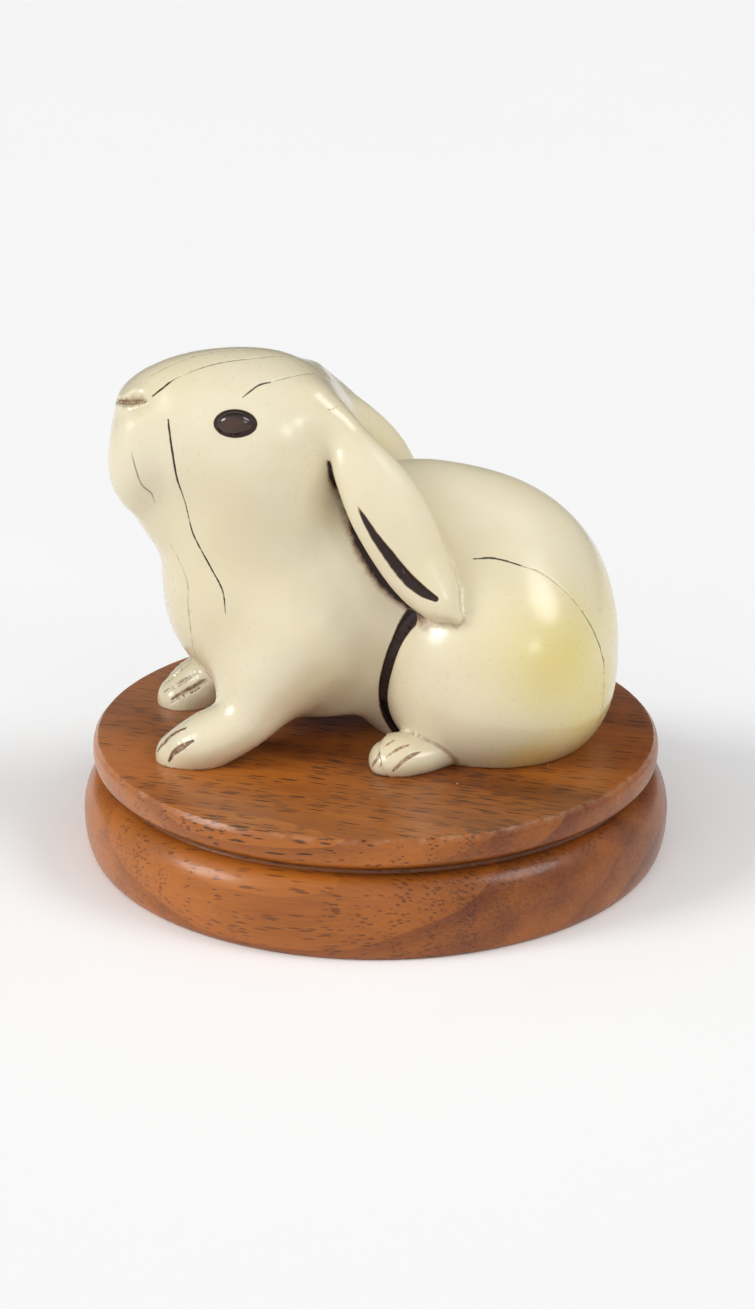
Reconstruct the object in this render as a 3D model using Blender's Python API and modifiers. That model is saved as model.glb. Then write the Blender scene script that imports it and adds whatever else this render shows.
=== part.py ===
"""Rabbit netsuke on a turned wooden stand.

A small rabbit, cast in one piece and finished like ivory, crouches on a round
walnut stand. Its eyes are two dark beads let into sockets in the head.
Frame: metres, +Z up, origin at the middle of the stand's underside. The rabbit
looks along -X and its left side faces -Y.

The rabbit is modelled the way a carver roughs out a block: named masses are
placed in millimetres and blended, and a voxel-remeshed skin is drawn onto them.
"""

import math

import bmesh
import bpy
import numpy as np
from mathutils import Euler, Matrix, Vector

MM = 0.001

# Turned stand
STAND_RADIUS = 51.0
STAND_HEIGHT = 20.0
FOOT_RADIUS = 49.3
BEAD_TOP = 13.4
TABLE_RADIUS = 48.4
TABLE_BULGE = 0.6
GROOVE_RADIUS = 46.3
STAND_STEPS = 64

# Rabbit
RESTING_GAP = 0.3
SKIN_VOXELS = (1.5, 0.75)
RABBIT_TRIANGLES = 5900
SEAM_RADIUS = 1.0
RIGHT_EAR_LIFT = 0.8
ARCH_MIDDLE = -9.2
ARCH_HALF_WIDTH = 6.2
ARCH_TOP = 23.0
LOFT_REACH = 18.0

# Eyes
EYE_CENTRE = (-23.3, -12.2, 77.0)
EYE_RADII = (3.4, 1.7, 2.25)
EYE_TURN = (14.0, 4.0, -6.0)
EYE_GAP = 0.3

# Masses of the left half, in millimetres: centre, radii, turn about Y in degrees,
# and how widely each one blends into those before it.
HEAD = {
    "skull": ((-20.7, 0, 72.3), (16.7, 12.9, 14.2), 0, 0),
    "cheek": ((-19.5, -4.8, 65.6), (11.9, 9.3, 14.8), 0, 6),
    "muzzle": ((-30.9, 0, 73.3), (12.4, 8.5, 10.8), 20, 7),
    "lip pad": ((-38.7, -2.8, 69.4), (5.5, 5.5, 8.8), 8, 2.5),
    "chin": ((-33.8, 0, 61.1), (6.3, 6.5, 6.9), 25, 4),
}
TRUNK = {
    "throat": ((-21.8, 0, 53.2), (14.2, 12.0, 15.3), 0, 0),
    "chest": ((-18.8, 0, 42.8), (16.3, 13.5, 13.3), 0, 6),
    "belly": ((-9.5, 0, 40.5), (19.6, 13.2, 19.2), 0, 8),
    "back": ((7.0, 0, 51.0), (22.3, 12.6, 16.0), 0, 8),
    "rump": ((19.0, 0, 35.2), (22.1, 16.2, 27.0), 10, 6),
}
HAUNCH = {
    "thigh": ((19.8, -9.2, 33.3), (18.8, 16.2, 19.0), 0, 0),
    "seat": ((20.0, -10.0, 28.4), (17.2, 14.8, 9.8), 0, 5),
}
TAIL = ((39.8, 0, 27.0), (2.8, 4.2, 6.4), -8)

# Paths of the limbs: x, y, z, half width and half thickness.
FORELEG = [
    (-14.4, -9.0, 37.8, 8.0, 8.5),
    (-19.5, -11.4, 31.7, 6.9, 7.3),
    (-24.2, -13.7, 26.3, 5.7, 4.8),
    (-29.6, -14.0, 23.2, 5.9, 4.9),
    (-33.4, -12.8, 20.4, 4.9, 4.6),
]
HIND_FOOT = [
    (13.9, -14.5, 24.0, 5.0, 4.1),
    (6.4, -18.0, 22.0, 5.2, 3.4),
    (1.9, -19.5, 21.8, 5.4, 3.7),
    (0.4, -19.4, 21.3, 4.4, 3.1),
]
EAR = [
    (-10.2, -6.8, 79.0, 1.5, 1.6),
    (-5.9, -9.0, 74.3, 3.1, 2.4),
    (-3.0, -12.2, 69.4, 5.0, 3.0),
    (0.8, -14.9, 62.9, 6.2, 3.2),
    (5.5, -17.0, 54.0, 5.5, 2.9),
    (9.1, -19.2, 48.6, 3.7, 2.4),
    (11.5, -20.2, 46.2, 1.1, 1.4),
]
EAR_FACE = (0.05, -0.92, 0.4)
EAR_SLOT = [
    (-4.4, -17.4, 64.6, 0.4),
    (-1.8, -19.0, 60.2, 0.9),
    (0.8, -19.5, 56.4, 1.0),
    (3.6, -20.0, 53.2, 1.0),
    (7.8, -21.4, 49.6, 0.5),
]
EAR_VALLEY = [
    (-9.6, -14.5, 70.0, 1.6, 1.6),
    (-7.0, -14.5, 63.0, 2.4, 2.4),
    (-3.4, -16.8, 55.5, 2.4, 2.4),
    (1.0, -19.8, 49.0, 1.6, 1.6),
]


def turned(degrees):
    """Rotation matrix of a turn about X, then Y, then Z."""
    return np.array(Euler([math.radians(a) for a in degrees]).to_matrix())


def egg(p, centre, radii, turn=(0, 0, 0)):
    """Distance from points p to an ellipsoid, close to true near its surface."""
    q = (p - np.array(centre)) @ turned(turn)
    r = np.array(radii)
    k0 = np.linalg.norm(q / r, axis=1)
    k1 = np.linalg.norm(q / r**2, axis=1)
    return k0 * (k0 - 1) / np.maximum(k1, 1e-9)


def smooth_path(points, steps=6):
    """Catmull-Rom curve through rows of numbers, which may carry radii too."""
    rows = np.array(points, float)
    rows = np.vstack([2 * rows[0] - rows[1], rows, 2 * rows[-1] - rows[-2]])
    t = np.linspace(0, 1, steps, endpoint=False)[:, None]
    out = []
    for a, b, c, d in zip(rows, rows[1:], rows[2:], rows[3:]):
        out.append(
            0.5 * (2 * b + (c - a) * t + (2 * a - 5 * b + 4 * c - d) * t**2 + (3 * b - a - 3 * c + d) * t**3)
        )
    return np.vstack([*out, rows[-2:-1]])


def loft(p, path, face, inward=1.0):
    """Distance to a bar with an elliptical section along a path.

    Each row of path is x, y, z, half width, half thickness. face is the
    direction in which the thickness is measured; on the other side of the path
    the thickness is multiplied by inward.
    """
    rows = smooth_path(path)
    corners = rows[:, :3].min(0) - LOFT_REACH, rows[:, :3].max(0) + LOFT_REACH
    apart = np.maximum(np.maximum(corners[0] - p, p - corners[1]), 0).max(axis=1)
    near = apart == 0
    out = apart + LOFT_REACH / 2
    out[near] = bar(p[near], rows, face, inward)
    return out


def bar(p, rows, face, inward):
    """Distance to the bar of a loft from points near it."""
    best = np.full(len(p), np.inf)
    where = np.zeros((len(p), 5))
    along = np.zeros((len(p), 3))
    for a, b in zip(rows, rows[1:]):
        run = b[:3] - a[:3]
        t = np.clip((p - a[:3]) @ run / (run @ run), 0, 1)[:, None]
        spot = a + (b - a) * t
        d = np.linalg.norm(p - spot[:, :3], axis=1)
        nearer = d < best
        best[nearer] = d[nearer]
        where[nearer] = spot[nearer]
        along[nearer] = run / np.linalg.norm(run)
    n = np.array(face, float) - along * (along @ np.array(face, float))[:, None]
    n /= np.linalg.norm(n, axis=1)[:, None]
    side = np.cross(along, n)
    q = p - where[:, :3]
    local = np.stack([(q * side).sum(1), (q * n).sum(1), (q * along).sum(1)], axis=1)
    thick = where[:, 4] * np.where(local[:, 1] < 0, inward, 1)
    r = np.stack([where[:, 3], thick, np.minimum(where[:, 3], where[:, 4])], axis=1)
    k0 = np.linalg.norm(local / r, axis=1)
    k1 = np.linalg.norm(local / r**2, axis=1)
    return k0 * (k0 - 1) / np.maximum(k1, 1e-9)


def ramp(x, start, end):
    """0 before start, 1 after end, eased between."""
    t = np.clip((x - start) / (end - start), 0, 1)
    return t * t * (3 - 2 * t)


def join(a, b, blend):
    """Union of two distances, with a fillet about as wide as blend."""
    h = np.maximum(blend - np.abs(a - b), 0) / blend
    return np.minimum(a, b) - h * h * blend / 4


def cut(a, b, blend):
    """a with b taken away, with its edges eased over blend."""
    return -join(-a, b, blend)


def blended(p, masses):
    """Distance to a group of masses, each blended into those before it."""
    d = None
    for centre, radii, lean, blend in masses.values():
        one = egg(p, centre, radii, (0, lean, 0))
        d = one if d is None else join(d, one, blend)
    return d


def seam(a, b):
    """Distance to the line in which two surfaces meet."""
    return np.hypot(a, b)


def arch(p):
    """Clear space under the belly, from one flank to the other."""
    wide = np.abs(p[:, 0] - ARCH_MIDDLE) - ARCH_HALF_WIDTH
    return -join(-wide, ARCH_TOP - p[:, 2], 3)


def body(p):
    """Trunk, forelegs and head, with the soft valley in front of each ear."""
    d = join(blended(p, TRUNK), loft(p, FORELEG, (0.3, 0, 1)), 6)
    d = join(d, blended(p, HEAD), 5)
    d = cut(d, loft(p, EAR_VALLEY, (0, -1, 0)), 3)
    return cut(d, arch(p), 2)


def rabbit_field(p):
    """Distance to the whole rabbit. Folding y gives both sides at once."""
    q = p * [1, 0, 1] - np.abs(p * [0, 1, 0])
    trunk = body(q)
    haunch = blended(q, HAUNCH)
    front = 1 - ramp(q[:, 0] + 0.6 * (q[:, 2] - 35), 8, 24)
    d = join(trunk, haunch, 0.8 + 7 * (1 - front))
    d = cut(d, seam(trunk, haunch) - SEAM_RADIUS * (4 * front - 3), 1.0)
    d = join(d, loft(q, HIND_FOOT, (0, 0, 1)), 1.2)
    leaf = loft(q - [0, 0, 1] * (RIGHT_EAR_LIFT * (p[:, 1:2] > 0)), EAR, EAR_FACE, 2.0)
    d = join(d, leaf, 1.0 + 5 * ramp(q[:, 2], 68, 78))
    centre, radii, lean = TAIL
    return join(d, egg(q, centre, radii, (0, lean, 0)), 1.2)


def gradient(field, p, step=0.05):
    axes = np.eye(3) * step
    return np.stack([field(p + a) - field(p - a) for a in axes], axis=1) / (2 * step)


def step_onto(field, mesh, most):
    """Moves a mesh's vertices (in millimetres) towards the surface of a field."""
    p = np.empty(len(mesh.vertices) * 3)
    mesh.vertices.foreach_get("co", p)
    p = p.reshape(-1, 3)
    d, g = field(p), gradient(field, p)
    move = g * (d / np.maximum((g * g).sum(1), 0.3))[:, None]
    long = np.linalg.norm(move, axis=1)
    p -= move * np.minimum(1, most / np.maximum(long, 1e-9))[:, None]
    mesh.vertices.foreach_set("co", p.ravel())
    mesh.update()


def relax(mesh, factor):
    soft = bmesh.new()
    soft.from_mesh(mesh)
    bmesh.ops.smooth_vert(
        soft, verts=soft.verts, factor=factor, use_axis_x=True, use_axis_y=True, use_axis_z=True
    )
    soft.to_mesh(mesh)
    soft.free()


def draw_onto(field, mesh, rounds=8, most=0.8):
    """Draws a skin onto a field, evening out its vertices on the way."""
    for _ in range(rounds):
        relax(mesh, 0.5)
        step_onto(field, mesh, most)
    step_onto(field, mesh, most / 4)


def material(name, colour, roughness, metallic=0.0):
    made = bpy.data.materials.new(name)
    made.use_nodes = True
    shader = made.node_tree.nodes["Principled BSDF"]
    shader.inputs["Base Color"].default_value = (*colour, 1)
    shader.inputs["Roughness"].default_value = roughness
    shader.inputs["Metallic"].default_value = metallic
    return made


def add_object(name, mesh, collection, surface):
    obj = bpy.data.objects.new(name, mesh)
    collection.objects.link(obj)
    mesh.materials.append(surface)
    return obj


def evaluated_mesh(obj):
    graph = bpy.context.evaluated_depsgraph_get()
    return bpy.data.meshes.new_from_object(obj.evaluated_get(graph))


def remeshed(obj, voxel):
    """Replaces the object's mesh with one even skin around it."""
    skin = obj.modifiers.new("Skin", "REMESH")
    skin.mode = "VOXEL"
    skin.voxel_size = voxel
    mesh = evaluated_mesh(obj)
    obj.modifiers.remove(skin)
    obj.data = mesh


def rabbit_block():
    """Rough block of spheres along the figure, closed into one skin later."""
    masses = [
        ((-24, 0, 70), 15), ((-34, 0, 68), 9), ((-22, 0, 52), 15), ((-15, 0, 42), 17),
        ((0, 0, 43), 18), ((16, 0, 42), 22), ((22, 0, 38), 19),
    ]
    for side in (-1, 1):
        masses += [
            ((20, side * 10, 34), 13), ((8, side * 17, 24), 5), ((2, side * 18, 23.5), 5),
            ((-20, side * 13, 31), 6), ((-26, side * 14, 26), 5), ((-31, side * 14, 23), 5),
            ((-34, side * 13, 21), 5),
            ((-6, side * 10, 74), 6), ((-2, side * 13, 67), 6), ((3, side * 15, 58), 6),
            ((8, side * 17, 50), 5),
        ]
    block = bmesh.new()
    for centre, radius in masses:
        bmesh.ops.create_icosphere(
            block, subdivisions=3, radius=radius, matrix=Matrix.Translation(centre)
        )
    mesh = bpy.data.meshes.new("rabbit")
    block.to_mesh(mesh)
    block.free()
    return mesh


def cutter_of(name, mesh, cutters):
    """Hidden object that a Boolean takes away."""
    obj = bpy.data.objects.new(name, mesh)
    cutters.objects.link(obj)
    obj.hide_render = True
    obj.display_type = "WIRE"
    return obj


def take_away(obj, cutter):
    hollow = obj.modifiers.new(cutter.name, "BOOLEAN")
    hollow.operation = "DIFFERENCE"
    hollow.solver = "EXACT"
    hollow.object = cutter


def floor_cutter(cutters):
    """Slab that leaves every foot flat at the resting height."""
    top = STAND_HEIGHT + RESTING_GAP
    slab = bmesh.new()
    place = Matrix.Translation(Vector((0, 0, top - 15)) * MM) @ Matrix.Diagonal((0.12, 0.12, 0.03, 1))
    bmesh.ops.create_cube(slab, size=1, matrix=place)
    mesh = bpy.data.meshes.new("floor")
    slab.to_mesh(mesh)
    slab.free()
    return cutter_of("floor", mesh, cutters)


def ear_slot_cutter(name, side, cutters):
    """Tapered round bar that sinks the opening into an ear's outer face."""
    bar_curve = bpy.data.curves.new(name, "CURVE")
    bar_curve.dimensions = "3D"
    bar_curve.bevel_depth = MM
    bar_curve.bevel_resolution = 1
    bar_curve.use_fill_caps = True
    rows = smooth_path(EAR_SLOT, 3)
    spline = bar_curve.splines.new("POLY")
    spline.points.add(len(rows) - 1)
    lift = RIGHT_EAR_LIFT if side > 0 else 0
    for point, (x, y, z, radius) in zip(spline.points, rows):
        point.co = (x * MM, side * abs(y) * MM, (z + lift) * MM, 1)
        point.radius = radius
    swept = bpy.data.objects.new(name, bar_curve)
    cutters.objects.link(swept)
    mesh = evaluated_mesh(swept)
    bpy.data.objects.remove(swept)
    welded = bmesh.new()
    welded.from_mesh(mesh)
    bmesh.ops.remove_doubles(welded, verts=welded.verts, dist=0.01 * MM)
    bmesh.ops.recalc_face_normals(welded, faces=welded.faces)
    welded.to_mesh(mesh)
    welded.free()
    return cutter_of(name, mesh, cutters)


def make_rabbit(collection, cutters):
    cream = material("ivory_resin", (0.77, 0.70, 0.50), 0.3)
    rabbit = add_object("rabbit", rabbit_block(), collection, cream)
    for voxel in SKIN_VOXELS:
        remeshed(rabbit, voxel)
        draw_onto(rabbit_field, rabbit.data)
    fewer = rabbit.modifiers.new("Fewer faces", "DECIMATE")
    rabbit.data.calc_loop_triangles()
    fewer.ratio = RABBIT_TRIANGLES / len(rabbit.data.loop_triangles)
    fewer.use_collapse_triangulate = True
    mesh = evaluated_mesh(rabbit)
    rabbit.modifiers.remove(fewer)
    mesh.transform(Matrix.Scale(MM, 4))
    rabbit.data = mesh
    mesh.materials.clear()
    mesh.materials.append(cream)
    mesh.shade_smooth()
    take_away(rabbit, floor_cutter(cutters))
    for name, side in (("slot_left", -1), ("slot_right", 1)):
        take_away(rabbit, ear_slot_cutter(name, side, cutters))
    return rabbit


def eye_shape(name, grown):
    """Flattened ball of an eye, or of its socket when grown."""
    ball = bmesh.new()
    bmesh.ops.create_uvsphere(ball, u_segments=20, v_segments=10, radius=1)
    mesh = bpy.data.meshes.new(name)
    ball.to_mesh(mesh)
    ball.free()
    mesh.transform(Matrix.Diagonal([*[(r + grown) * MM for r in EYE_RADII], 1]))
    mesh.shade_smooth()
    return mesh


def set_in_head(obj, side):
    x, y, z = EYE_CENTRE
    tx, ty, tz = (math.radians(a) for a in EYE_TURN)
    obj.location = Vector((x, side * abs(y), z)) * MM
    obj.rotation_euler = (-side * tx, ty, -side * tz)


def make_eyes(rabbit, collection, cutters):
    brown = material("eye_bead", (0.07, 0.025, 0.01), 0.1)
    for name, side in (("eye_left", -1), ("eye_right", 1)):
        set_in_head(add_object(name, eye_shape(name, 0), collection, brown), side)
        socket = cutter_of(name + "_socket", eye_shape(name + "_socket", EYE_GAP), cutters)
        set_in_head(socket, side)
        take_away(rabbit, socket)


def arc(centre, radii, start, end, count):
    """Points on an elliptical arc in the radius-height plane, by angle in degrees."""
    angles = np.radians(np.linspace(start, end, count))
    return [(centre[0] + radii[0] * math.cos(a), centre[1] + radii[1] * math.sin(a)) for a in angles]


def stand_profile():
    """Half section of the stand from the top's middle out and down to the underside's middle."""
    bead_middle = 0.47 * BEAD_TOP
    lip = arc((TABLE_RADIUS, 17.6), (TABLE_BULGE, 2.0), 80, -70, 5)
    bead_over = arc((GROOVE_RADIUS, bead_middle), (STAND_RADIUS - GROOVE_RADIUS, BEAD_TOP - bead_middle), 88, 0, 8)
    bead_under = arc((FOOT_RADIUS, bead_middle), (STAND_RADIUS - FOOT_RADIUS, bead_middle), -12, -90, 6)
    return [
        (0, STAND_HEIGHT),
        (TABLE_RADIUS - 0.4, STAND_HEIGHT),
        *lip,
        (GROOVE_RADIUS, BEAD_TOP + 0.9),
        *bead_over,
        *bead_under,
        (0, 0),
    ]


def make_stand(collection):
    walnut = material("walnut", (0.26, 0.12, 0.055), 0.35)
    mesh = bpy.data.meshes.new("stand")
    outline = bmesh.new()
    corners = [outline.verts.new((r * MM, 0, z * MM)) for r, z in stand_profile()]
    for a, b in zip(corners, corners[1:]):
        outline.edges.new((a, b))
    outline.to_mesh(mesh)
    outline.free()
    stand = add_object("stand", mesh, collection, walnut)
    lathe = stand.modifiers.new("Lathe", "SCREW")
    lathe.steps = lathe.render_steps = STAND_STEPS
    lathe.use_merge_vertices = True
    lathe.merge_threshold = 0.00001
    lathe.use_smooth_shade = True
    return stand


def main():
    for obj in list(bpy.data.objects):
        bpy.data.objects.remove(obj)
    parts = bpy.data.collections.new("rabbit_netsuke")
    cutters = bpy.data.collections.new("cutters")
    for collection in (parts, cutters):
        bpy.context.scene.collection.children.link(collection)
    make_stand(parts)
    make_eyes(make_rabbit(parts, cutters), parts, cutters)


main()
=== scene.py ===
"""Rabbit netsuke on a turned walnut stand.

The rabbit is cast in resin with an ivory finish: brown stain lies in the
recesses, and hairlines cross the head and the haunches. Two dark beads are its
eyes. Frame: metres, +Z up; the rabbit looks along -X and its left side faces -Y.
Shapes are worked out in millimetres.
"""

import math

import bmesh
import bpy
import numpy as np
from bpy.props import FloatProperty, FloatVectorProperty, IntProperty, PointerProperty
from mathutils import Euler, Matrix, Vector


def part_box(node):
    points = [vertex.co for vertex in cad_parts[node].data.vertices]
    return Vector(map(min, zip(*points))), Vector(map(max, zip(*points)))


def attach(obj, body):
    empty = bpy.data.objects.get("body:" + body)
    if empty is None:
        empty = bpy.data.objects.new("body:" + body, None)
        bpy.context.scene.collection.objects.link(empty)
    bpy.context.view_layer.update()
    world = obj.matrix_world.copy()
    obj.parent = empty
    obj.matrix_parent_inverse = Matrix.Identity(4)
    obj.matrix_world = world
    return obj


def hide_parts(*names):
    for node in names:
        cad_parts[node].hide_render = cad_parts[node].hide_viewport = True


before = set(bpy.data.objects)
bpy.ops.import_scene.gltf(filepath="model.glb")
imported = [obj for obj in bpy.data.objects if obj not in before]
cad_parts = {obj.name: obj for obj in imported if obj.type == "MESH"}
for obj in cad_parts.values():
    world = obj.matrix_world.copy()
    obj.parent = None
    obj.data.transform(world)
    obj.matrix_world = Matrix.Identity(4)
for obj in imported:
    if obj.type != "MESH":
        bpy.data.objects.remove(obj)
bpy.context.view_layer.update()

bl_info = {
    "name": "Rabbit netsuke",
    "version": (1, 0, 0),
    "blender": (4, 5, 0),
    "location": "3D View > Sidebar > Netsuke",
    "description": "Builds a cast rabbit netsuke with bead eyes on its walnut stand",
    "category": "Object",
}

MM = 0.001
_, STAND_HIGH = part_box("stand")

# Masses of the left half in millimetres: centre, radii, lean about Y in degrees,
# and how widely each one blends into those before it.
HEAD = (
    ((-20.7, 0, 72.3), (16.7, 12.9, 14.2), 0, 0),
    ((-19.5, -4.8, 65.6), (11.9, 9.3, 14.8), 0, 6),
    ((-30.9, 0, 73.3), (12.4, 8.5, 10.8), 20, 7),
    ((-38.7, -2.8, 69.4), (5.5, 5.5, 8.8), 8, 2.5),
    ((-33.8, 0, 61.1), (6.3, 6.5, 6.9), 25, 4),
)
TRUNK = (
    ((-21.8, 0, 53.2), (14.2, 12.0, 15.3), 0, 0),
    ((-18.8, 0, 42.8), (16.3, 13.5, 13.3), 0, 6),
    ((-9.5, 0, 40.5), (19.6, 13.2, 19.2), 0, 8),
    ((7.0, 0, 51.0), (22.3, 12.6, 16.0), 0, 8),
    ((19.0, 0, 35.2), (22.1, 16.2, 27.0), 10, 6),
)
HAUNCH = (
    ((19.8, -9.2, 33.3), (18.8, 16.2, 19.0), 0, 0),
    ((20.0, -10.0, 28.4), (17.2, 14.8, 9.8), 0, 5),
)
TAIL = (((39.8, 0, 27.0), (2.8, 4.2, 6.4), -8, 0),)
NOSE_PAD = (((-39.1, 0, 79.9), (3.2, 7.0, 1.3), -34, 0),)

# Paths of the limbs: x, y, z, half width and half thickness.
FORELEG = (
    (-14.4, -9.0, 37.8, 8.0, 8.5),
    (-19.5, -11.4, 31.7, 6.9, 7.3),
    (-24.2, -13.7, 26.3, 5.7, 4.8),
    (-29.6, -14.0, 23.2, 5.9, 4.9),
    (-33.4, -12.8, 20.4, 4.9, 4.6),
)
HIND_FOOT = (
    (13.9, -14.5, 24.0, 5.0, 4.1),
    (6.4, -18.0, 22.0, 5.2, 3.4),
    (1.9, -19.5, 21.8, 5.4, 3.7),
    (0.4, -19.4, 21.3, 4.4, 3.1),
)
EAR = (
    (-10.2, -6.8, 79.0, 1.5, 1.6),
    (-5.9, -9.0, 74.3, 3.1, 2.4),
    (-3.0, -12.2, 69.4, 5.0, 3.0),
    (0.8, -14.9, 62.9, 6.2, 3.2),
    (5.5, -17.0, 54.0, 5.5, 2.9),
    (9.1, -19.2, 48.6, 3.7, 2.4),
    (11.5, -20.2, 46.2, 1.1, 1.4),
)
EAR_FACE = (0.05, -0.92, 0.4)
EAR_VALLEY = (
    (-9.6, -14.5, 70.0, 1.6, 1.6),
    (-7.0, -14.5, 63.0, 2.4, 2.4),
    (-3.4, -16.8, 55.5, 2.4, 2.4),
    (1.0, -19.8, 49.0, 1.6, 1.6),
)
RIGHT_EAR_LIFT = 0.8
SEAM_HALF_WIDTH = 0.72
LOFT_REACH = 18.0

# Clear space under the belly
ARCH_MIDDLE = -9.2
ARCH_HALF_WIDTH = 6.2
ARCH_TOP = 23.0

# Grooves cut with a round gouge: x, y, z and half width. The first ones are on both sides.
EAR_SLOT = (
    (-4.6, -17.3, 64.8, 0.25),
    (-1.8, -18.9, 60.0, 0.7),
    (0.7, -19.5, 56.6, 0.85),
    (3.2, -20.2, 53.4, 0.95),
    (5.6, -20.9, 51.3, 0.85),
    (8.0, -21.4, 49.9, 0.4),
)
NOSE_CUT = (
    (-42.0, 0.0, 78.0, 0.25),
    (-41.5, -2.9, 78.7, 0.3),
    (-39.8, -4.9, 79.2, 0.26),
    (-37.6, -6.3, 79.6, 0.12),
)
PAW_GROOVES = (
    (
        (-37.6, -14.4, 21.9, 0.12), (-36.5, -14.6, 23.4, 0.35), (-35.1, -15.0, 25.0, 0.33),
        (-32.8, -16.1, 26.6, 0.1),
    ),
    (
        (-35.7, -16.9, 21.1, 0.12), (-34.9, -17.5, 22.8, 0.35), (-33.5, -18.3, 24.1, 0.43),
        (-31.6, -18.7, 25.3, 0.15),
    ),
    (
        (-37.5, -12.4, 22.4, 0.15), (-35.9, -12.3, 24.2, 0.36), (-33.9, -12.5, 25.8, 0.36),
        (-31.5, -12.8, 27.5, 0.12),
    ),
    (
        (-37.0, -10.5, 21.9, 0.15), (-35.5, -10.1, 23.4, 0.36), (-33.1, -10.1, 24.7, 0.36),
        (-30.6, -9.9, 26.5, 0.12),
    ),
    (
        (-35.5, -8.8, 21.2, 0.15), (-33.9, -8.6, 22.5, 0.33), (-31.5, -8.8, 23.6, 0.33),
        (-29.1, -8.5, 25.2, 0.12),
    ),
)
FOOT_GROOVES = (
    (
        (-2.3, -22.0, 21.2, 0.13), (-1.6, -22.3, 22.4, 0.31), (-0.3, -21.7, 24.0, 0.31),
        (1.4, -20.9, 25.4, 0.078),
    ),
    (
        (-1.5, -23.6, 21.4, 0.13), (0.2, -23.3, 23.3, 0.31), (2.0, -22.8, 24.4, 0.26),
        (3.8, -22.1, 25.0, 0.078),
    ),
    (
        (0.9, -24.8, 21.4, 0.13), (2.4, -24.4, 22.8, 0.26), (4.0, -23.7, 23.6, 0.26),
        (5.6, -22.9, 24.0, 0.078),
    ),
)

# Eyes
EYE_CENTRE = (-23.3, -12.2, 77.0)
EYE_RADII = (3.2, 1.7, 2.2)
EYE_TURN = (14.0, 4.0, -6.0)
SOCKET_GAP = 0.22

# Hairlines: half width in millimetres, depth of colour, then points along the skin.
HAIRLINES = (
    (0.175, 1.0, ((-36.5, -6.4, 80.4), (-33, -5.8, 83))),
    (0.1, 0.75, ((-33, -5.8, 83), (-26.2, -4.9, 85.2), (-19.4, -3.7, 85.8), (-13.8, -0.6, 85.2))),
    (0.075, 0.5, ((-13.8, -1.2, 85.2), (-12.1, -2.9, 84))),
    (0.0875, 0.6, ((-37.4, -3.3, 82.4), (-33, -2.5, 84.8), (-26.1, -1.2, 86.4), (-19.3, -0.4, 86.4))),
    (0.15, 0.95, ((-22.1, -10.7, 81.1), (-19.6, -9.3, 82.6), (-17.5, -8.6, 83))),
    (0.0875, 0.6, ((-17.5, -8.6, 83), (-12.7, -5.8, 83.4), (-9.5, -2.9, 82.7))),
    (
        0.12, 0.6,
        (
            (-40.3, -8.1, 71.8), (-39.7, -8.5, 69), (-38.7, -8.1, 66), (-37.3, -7.7, 64.5),
            (-36.8, -7.1, 62.8),
        ),
    ),
    (
        0.213, 1.0,
        (
            (-34.1, -9.3, 77.3), (-33.8, -10.2, 74), (-33.4, -10.4, 70.9), (-33, -10.2, 67.7),
            (-32.1, -9.6, 64.6),
        ),
    ),
    (
        0.15, 1.0,
        (
            (-32.1, -9.6, 64.6), (-30.7, -9.5, 58.5), (-28.1, -11.2, 53.1), (-26.1, -12.5, 49.2),
            (-25.7, -13, 45.5),
        ),
    ),
    (
        0.075, 0.5,
        (
            (-34.5, -6.5, 55.5), (-31.9, -8.9, 50), (-31.9, -9.3, 46.5), (-31.5, -9, 41.3),
            (-30.7, -6.7, 35.4),
        ),
    ),
    (0.163, 0.95, ((14.9, -14, 54.1), (18.5, -14.1, 54.1), (23.4, -14.7, 52.7))),
    (0.075, 0.5, ((23.4, -14.7, 52.7), (26, -14.8, 51.7), (29.7, -15.5, 48.9), (32.7, -16.2, 45.4))),
    (0.112, 0.9, ((32.7, -16.2, 45.4), (34.9, -16.5, 41.7), (36.6, -16.4, 36.7), (36.8, -16.7, 34.9))),
    (0.1, 0.8, ((36.8, -16.7, 34.9), (36.6, -17.6, 30.2), (36.3, -17, 26.2), (36.2, -13.6, 22.5))),
    (0.138, 0.9, ((-28.0, 11.0, 80.5), (-24.0, 11.8, 76.0), (-22.5, 12.6, 70.0), (-23.5, 12.8, 63.5))),
    (0.125, 0.85, ((12.0, 14.5, 52.0), (19.0, 15.5, 53.0), (27.0, 16.0, 50.0), (33.0, 16.5, 44.0))),
)
MOUTH_LINE = (
    (-42.2, -1.3, 77.6), (-43.4, -1.6, 74.3), (-44.0, -1.7, 71.0), (-43.9, -1.5, 68.6),
    (-43.2, -1.2, 66.5),
)

# Stain in the recesses, on both sides: strength, then x, y, z and reach.
STAINS = (
    (1.0, tuple((x, y, z, 0.95 * r + 0.1) for x, y, z, r in EAR_SLOT)),
    (0.42, tuple((x, y, z, r + 0.12) for x, y, z, r in NOSE_CUT)),
    *((0.52, tuple((x, y, z, r + 0.12) for x, y, z, r in line)) for line in PAW_GROOVES),
    *((0.45, tuple((x, y, z, r + 0.1) for x, y, z, r in line)) for line in FOOT_GROOVES),
)
# Stain and painted shade under the ear's lower edge, where it overhangs the neck: height and width in
# millimetres.
EAR_STAIN_AND_SHADE = (
    (44, 2.6), (48, 2.7), (52, 2.5), (57, 2.5), (61, 2.2), (65, 1.5), (69, 0.8), (73, 0.3), (80, 0.1),
)
# Yellowed areas, with those low on the haunches near the table a painted warm reflection of the wood: middle
# and reach.
PATINA_AND_REFLECTION = (
    ((28.5, -21.0, 38.7), 17.0), ((33.5, -17.0, 30.0), 16.0), ((31.0, -14.0, 21.0), 12.0),
    ((36.0, -8.0, 40.0), 10.0),
    ((24.0, -22.0, 22.0), 9.0), ((25.0, 20.0, 38.0), 14.0), ((-4.0, 10.0, 66.0), 8.0),
)


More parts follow.
